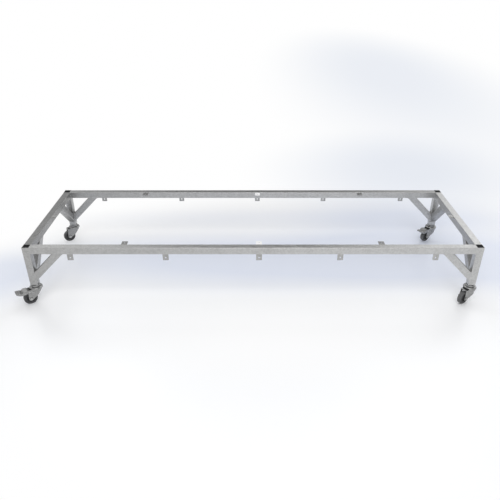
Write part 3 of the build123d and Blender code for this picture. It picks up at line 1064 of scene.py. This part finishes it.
@dataclass
class FootBrake(Assembly):
    """Pedal, pin and shoe of a braked caster, with the grip ribs pressed across the pedal's tip."""

    corner: Corner
    heading: float = CASTER_HEADING
    tip_start: tuple[float, float] = (48 * MM, 6 * MM)
    tip_end: tuple[float, float] = (71 * MM, 9 * MM)
    rib_count: int = 4
    rib_length: float = 30 * MM
    rib: float = 1.3 * MM
    rib_sides: int = 12
    rib_round: float = 0.8
    rib_steps: int = 3

    def dress(self) -> None:
        """Gives each piece its finish."""
        label = self.corner.label
        dress(self.shop.pressing, f"brake_pedal_{label}")
        dress(self.shop.fastener, f"brake_pin_{label}")
        dress(self.shop.dark_steel, f"brake_shoe_{label}")

    def build(self) -> None:
        """Lays the grip ribs across the tip."""
        label = self.corner.label
        place = Matrix.Translation(middle_of(f"brake_pin_{label}"))
        place = place @ Matrix.Rotation(math.radians(self.heading), 4, "Z")
        ribs = bmesh.new()
        for step in range(self.rib_count):
            share = (step + 1) / (self.rib_count + 1)
            spans = zip(self.tip_start, self.tip_end)
            along, high = (first + share * (last - first) for first, last in spans)
            pour(self._rib(), ribs, place @ Matrix.Translation((along, 0.0, high)))
        finish_piece(ribs, f"pedal_ribs_{label}", self.shop.pressing, f"brake_{label}")

    def _rib(self) -> Mesh:
        """Shapes one round-ended rib along Y.

        Returns:
            The rib's mesh.
        """
        rib = bmesh.new()
        bmesh.ops.create_cone(
            rib, cap_ends=True, segments=self.rib_sides, radius1=self.rib, radius2=self.rib,
            depth=self.rib_length,
        )
        rims = [edge for edge in rib.edges if edge.verts[0].co.z * edge.verts[1].co.z > 0]
        bmesh.ops.bevel(
            rib, geom=rims, offset=self.rib_round * self.rib, offset_type="OFFSET", affect="EDGES",
            segments=self.rib_steps, profile=0.5, material=-1,
        )
        lying = Matrix.Rotation(math.pi / 2, 3, "X")
        bmesh.ops.rotate(rib, verts=rib.verts, cent=(0.0, 0.0, 0.0), matrix=lying)
        return rib


@dataclass(frozen=True)
class Glow:
    """A soft brighter or darker patch of the studio's walls: where it stands, its width and its strength."""

    azimuth: float
    elevation: float
    radius: float
    gain: float

    @property
    def aim(self) -> Vector:
        """The way to the patch, with azimuth 0 at the back and 90 at the right."""
        turn, rise = math.radians(self.azimuth), math.radians(self.elevation)
        return Vector((math.sin(turn) * math.cos(rise), math.cos(turn) * math.cos(rise), math.sin(rise)))


@dataclass(frozen=True)
class Lamp:
    """A large soft lamp that looks at the platform: its place, the side of its square and its power."""

    name: str
    place: Point
    side: float
    power: float
    target: Point = (0.0, 0.0, -0.2)

    def hang(self) -> None:
        """Adds the lamp to the scene."""
        light = bpy.data.lights.new(self.name, "AREA")
        light.size = self.side
        light.energy = self.power
        lamp = bpy.data.objects.new(self.name, light)
        lamp.location = self.place
        lamp.rotation_euler = (Vector(self.target) - lamp.location).to_track_quat("-Z", "Y").to_euler()
        bpy.context.scene.collection.objects.link(lamp)


@dataclass(frozen=True)
class FloorPatch:
    """A soft patch of the pale floor: its middle, its reach along X and Y, and its weight in the middle."""

    middle: tuple[float, float]
    reach: tuple[float, float]
    depth: float = 1.0


@dataclass
class Studio:
    """Pale floor, soft light and the camera at the photograph's angle."""

    floor_level: float = -358 * MM
    floor_size: float = 120.0
    floor_tone: Colour = (0.975, 0.98, 0.99)
    shade_tone: Colour = (0.79, 0.83, 0.93)
    # Painted shadows and shade: the shadows of the front and back rails behind them, shade under the right of
    # the frame, past both front corners and towards the back right of floor and backdrop.
    shades: tuple[FloorPatch, ...] = (
        FloorPatch((0.25, 0.09), (2.45, 0.5), 1.25),
        FloorPatch((0.25, 0.68), (2.3, 0.24), 0.33),
        FloorPatch((1.15, 0.35), (1.2, 0.85), 0.7),
        FloorPatch((-1.6, -0.14), (0.5, 0.45)),
        FloorPatch((1.65, -0.1), (0.5, 0.5), 0.5),
        FloorPatch((1.3, 1.6), (1.5, 1.5), 0.85),
        FloorPatch((2.2, 6.0), (2.3, 6.5), 0.85),
    )
    lit_floor: FloorPatch = FloorPatch((0.6, -0.3), (2.1, 1.25))
    white_floor: FloorPatch = FloorPatch((0.1, -0.7), (1.3, 0.45), 0.55)
    fade: Span = (0.85, 1.3)
    patch_edge: Span = (0.1, 1.0)
    backdrop_shade: Colour = (0.80, 0.83, 0.89)
    floor_roughness: float = 0.3
    floor_gloss: float = 0.5
    wall_tone: Colour = (0.985, 0.99, 1.0)
    ambient: float = 0.52
    patches: tuple[Glow, ...] = (
        Glow(0.0, 27.0, 32.0, -0.45),
        Glow(44.0, 24.0, 28.0, 1.05),
        Glow(-26.0, 34.0, 24.0, 0.35),
    )
    lamps: tuple[Lamp, ...] = (
        Lamp("lamp_front", (0.0, -4.2, 4.6), 4.5, 150.0),
        Lamp("lamp_above", (0.0, 1.5, 5.0), 4.5, 52.0),
        Lamp("lamp_back_left", (-2.6, 3.3, 3.8), 2.0, 20.0),
        Lamp("lamp_back_right", (2.6, 3.3, 3.8), 2.0, 17.0),
    )
    eye: Point = (-0.0163, -2.8299, 1.3921)
    pitch: float = 60.07
    lens: float = 37.54
    sensor: float = 36.0
    view_end: float = 200.0

    def build(self) -> None:
        """Sets up the floor, the light and the camera."""
        self._floor()
        self._world()
        for lamp in self.lamps:
            lamp.hang()
        self._camera()
        bpy.context.scene.view_settings.view_transform = "Standard"

    def _floor(self) -> None:
        """Lays a large pale floor that turns white away from the platform."""
        mesh = bmesh.new()
        bmesh.ops.create_grid(mesh, x_segments=1, y_segments=1, size=self.floor_size / 2)
        bmesh.ops.translate(mesh, verts=mesh.verts, vec=(0.0, 0.0, self.floor_level))
        data = bpy.data.meshes.new("floor")
        mesh.to_mesh(data)
        mesh.free()
        data.materials.append(self._floor_material())
        floor = bpy.data.objects.new("floor", data)
        bpy.context.scene.collection.objects.link(floor)

    def _floor_material(self) -> Material:
        """Makes the floor's finish: pale with painted shadows and shade round the platform, plain white
        further off.

        Returns:
            The material.
        """
        bench = MaterialBench("pale_floor")
        sketch = bench.sketch
        shade: object = 0.0
        for patch in self.shades:
            shade = sketch.maths("ADD", shade, self._share(bench, patch))
        shade = sketch.maths("MINIMUM", shade, 1.0)
        tone = sketch.blend(shade, (*self.floor_tone, 1.0), (*self.shade_tone, 1.0))
        bench.set(Base_Color=tone, Roughness=self.floor_roughness, Specular_IOR_Level=self.floor_gloss)
        far = sketch.remap(self._distance(bench, self.lit_floor), self.fade, (0.0, 1.0))
        far = sketch.maths("MAXIMUM", far, self._share(bench, self.white_floor))
        path = sketch.add("ShaderNodeLightPath").outputs
        seen = sketch.maths("MAXIMUM", path["Is Camera Ray"], path["Is Glossy Ray"])
        seen = sketch.maths("MAXIMUM", seen, path["Is Transmission Ray"])
        backdrop = sketch.blend(shade, (1.0, 1.0, 1.0, 1.0), (*self.backdrop_shade, 1.0))
        white = sketch.add("ShaderNodeEmission", {"Color": backdrop, "Strength": 1.0})
        mix = sketch.add("ShaderNodeMixShader", {"Fac": sketch.maths("MULTIPLY", far, seen)})
        sketch.feed(mix.inputs[1], bench.shader.outputs["BSDF"])
        sketch.feed(mix.inputs[2], white.outputs["Emission"])
        output = bench.material.node_tree.nodes["Material Output"]
        sketch.feed(output.inputs["Surface"], mix.outputs["Shader"])
        return bench.material

    def _share(self, bench: MaterialBench, patch: FloorPatch) -> Socket:
        """How much a patch counts at a point: its depth round its middle, 0 at the end of its reach."""
        return bench.sketch.remap(self._distance(bench, patch), self.patch_edge, (patch.depth, 0.0))

    def _distance(self, bench: MaterialBench, patch: FloorPatch) -> Socket:
        """How far a point of the floor is from a patch's middle, as a share of the patch's reach.

        Args:
            bench: The floor's material.
            patch: The patch.

        Returns:
            The distance's socket.
        """
        spread = bench.sketch.add("ShaderNodeVectorMath", operation="DIVIDE")
        bench.sketch.feed(spread.inputs[0], bench.local((*patch.middle, self.floor_level), (0.0, 0.0, 0.0)))
        spread.inputs[1].default_value = (*patch.reach, 1.0)
        length = bench.sketch.add("ShaderNodeVectorMath", operation="LENGTH")
        bench.sketch.feed(length.inputs[0], spread.outputs["Vector"])
        return length.outputs["Value"]

    def _world(self) -> None:
        """Lights everything from pale walls with brighter and darker patches."""
        world = bpy.data.worlds.new("studio")
        bpy.context.scene.world = world
        world.use_nodes = True
        sketch = NodeSketch(world.node_tree)
        way = sketch.add("ShaderNodeTexCoord").outputs["Generated"]
        glow: object = self.ambient
        for patch in self.patches:
            lobe = sketch.add("ShaderNodeVectorMath", operation="DOT_PRODUCT")
            sketch.feed(lobe.inputs[0], way)
            lobe.inputs[1].default_value = patch.aim
            rim = math.cos(math.radians(patch.radius))
            gain = sketch.remap(lobe.outputs["Value"], (rim, 1.0), (0.0, patch.gain))
            glow = sketch.maths("ADD", glow, gain)
        background = world.node_tree.nodes["Background"]
        sketch.feed(background.inputs["Color"], (*self.wall_tone, 1.0))
        sketch.feed(background.inputs["Strength"], glow)

    def _camera(self) -> None:
        """Places the camera."""
        data = bpy.data.cameras.new("camera")
        data.lens = self.lens
        data.sensor_width = self.sensor
        data.clip_end = self.view_end
        camera = bpy.data.objects.new("camera", data)
        camera.location = self.eye
        camera.rotation_euler = (math.radians(self.pitch), 0.0, 0.0)
        bpy.context.scene.collection.objects.link(camera)
        bpy.context.scene.camera = camera


def main() -> None:
    """Builds the platform's looks and the studio."""
    logging.basicConfig(level=logging.INFO, format="%(message)s")
    shop = Workshop()
    casters = [Caster(shop, corner) for corner in Corner]
    brakes = [FootBrake(shop, corner) for corner in (Corner.FRONT_LEFT, Corner.BACK_RIGHT)]
    for assembly in (TubeFrame(shop), LegPlugs(shop), SwivelMounts(shop), *casters, *brakes):
        assembly.dress()
        assembly.build()
    Studio().build()


if __name__ == "__main__":
    main()
